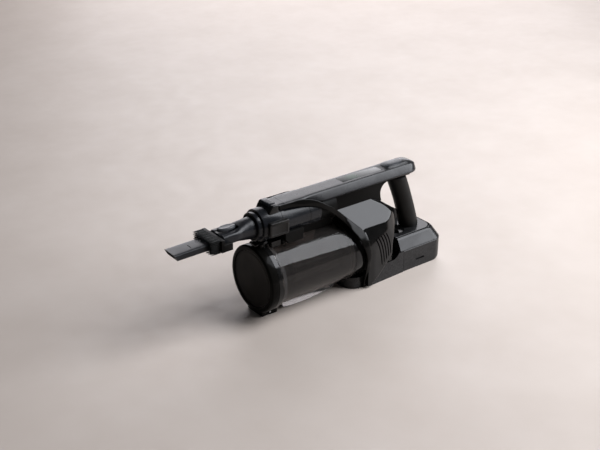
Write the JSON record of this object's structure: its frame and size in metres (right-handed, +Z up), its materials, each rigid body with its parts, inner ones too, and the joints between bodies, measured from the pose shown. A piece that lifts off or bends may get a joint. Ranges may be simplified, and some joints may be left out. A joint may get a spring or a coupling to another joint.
{
  "type": "handheld vacuum",
  "caption": "Cordless handheld vacuum with a clear dust bin, top spine, rear battery grip and a slim nozzle with a sliding dusting brush.",
  "frame": {"origin": "middle of the underside of the whole cleaner, on the surface it lies on", "axes": "+X from the nozzle towards the handle, +Y to the left of someone behind the handle, +Z up"},
  "size_m": [0.5128, 0.1168, 0.1878],
  "materials": {
    "gloss_black": "gloss",
    "satin_grey": "satin",
    "matte_black": "matte",
    "duct_grey": "satin gloss",
    "smoked_clear": "clear gloss",
    "rubber": "matte",
    "bristle": "soft bristle",
    "steel": "brushed",
    "motor_metal": "satin",
    "board_green": "satin",
    "filter_white": "pleated",
    "cell_wrap": "wrapped"
  },
  "bodies": {
    "main_body": {"inlet_rim": "duct_grey", "inlet_seal": "rubber", "inlet_collar": "duct_grey", "inlet_duct": "duct_grey", "inlet_side_cover_right": "duct_grey", "inlet_side_cover_left": "duct_grey", "cyclone_port": "matte_black", "spine_cap": "satin_grey", "spine_trim": "satin_grey", "display_window": "gloss_black", "display_board": "board_green", "power_button_spring": "steel", "hood": "gloss_black", "spine_frame_right": "matte_black", "spine_frame_left": "matte_black", "side_band_right": "gloss_black", "side_band_left": "gloss_black", "motor_cowl": "gloss_black", "dock_ring": "gloss_black", "dock_plate": "matte_black", "exhaust_filter": "filter_white", "impeller_shroud": "matte_black", "motor_can": "motor_metal", "front_bearing": "steel", "rear_bearing": "steel", "motor_mount_front": "rubber", "base_shell": "satin_grey", "base_screw_right": "steel", "base_screw_left": "steel", "control_board": "board_green", "base_cover": "satin_grey", "grip_core": "matte_black", "grip_sleeve": "rubber"},
    "dust_bin": {"bin_shell": "smoked_clear", "bin_rear_ring": "gloss_black", "bin_rear_seal": "rubber", "bin_top_block": "gloss_black", "cyclone_shroud": "steel", "shroud_end_cap": "matte_black", "cyclone_flange": "matte_black", "pre_motor_filter": "filter_white"},
    "lid": {"bin_lid": "gloss_black", "lid_panel": "matte_black", "lid_seal": "rubber", "lid_hinge_pin": "steel"},
    "latch": {"lid_latch": "gloss_black"},
    "wand_release": {"wand_release_button": "satin_grey"},
    "power": {"power_button": "gloss_black"},
    "fan": {"motor_shaft": "steel", "impeller": "matte_black"},
    "battery": {"battery_case": "satin_grey", "battery_top": "matte_black", "battery_cells": "cell_wrap", "charge_socket": "matte_black"},
    "battery_latch": {"battery_latch_button": "matte_black"},
    "nozzle": {"nozzle_body": "duct_grey"},
    "nozzle_release": {"nozzle_button": "gloss_black"},
    "brush": {"brush_frame": "matte_black", "brush_bristles": "bristle"}
  },
  "joints": [
    {"name": "bin_slide", "type": "slide", "parent": "main_body", "child": "dust_bin", "axis": [-1, 0, 0], "range_m": [0, 0.34]},
    {"name": "lid_hinge", "type": "hinge", "parent": "dust_bin", "child": "lid", "pos_m": [-0.0944, 0, 0.0046], "axis": [0, -1, 0], "range_deg": [0, 90]},
    {"name": "latch_rock", "type": "hinge", "parent": "lid", "child": "latch", "pos_m": [-0.1019, 0, 0.119], "axis": [0, -1, 0], "range_deg": [0, 5], "stiffness_Nm_per_rad": 0.4},
    {"name": "wand_release_press", "type": "slide", "parent": "main_body", "child": "wand_release", "axis": [0, 0, -1], "range_m": [0, 0.0014], "stiffness_N_per_m": 800},
    {"name": "power_press", "type": "slide", "parent": "main_body", "child": "power", "axis": [0, 0, -1], "range_m": [0, 0.0015], "stiffness_N_per_m": 800, "deforming": ["power_button_spring"]},
    {"name": "fan_spin", "type": "hinge", "parent": "main_body", "child": "fan", "pos_m": [0.1, 0, 0.066], "axis": [1, 0, 0], "continuous": true},
    {"name": "battery_slide", "type": "slide", "parent": "main_body", "child": "battery", "axis": [1, 0, 0], "range_m": [0, 0.1]},
    {"name": "battery_latch_press", "type": "slide", "parent": "battery", "child": "battery_latch", "axis": [-1, 0, 0], "range_m": [0, 0.0015], "stiffness_N_per_m": 800},
    {"name": "nozzle_slide", "type": "slide", "parent": "main_body", "child": "nozzle", "axis": [-1, 0, 0], "range_m": [0, 0.1]},
    {"name": "nozzle_button_press", "type": "slide", "parent": "nozzle", "child": "nozzle_release", "axis": [0, 0, -1], "range_m": [0, 0.0015], "stiffness_N_per_m": 800},
    {"name": "brush_slide", "type": "slide", "parent": "nozzle", "child": "brush", "axis": [-1, 0, 0], "range_m": [0, 0.05]}
  ]
}
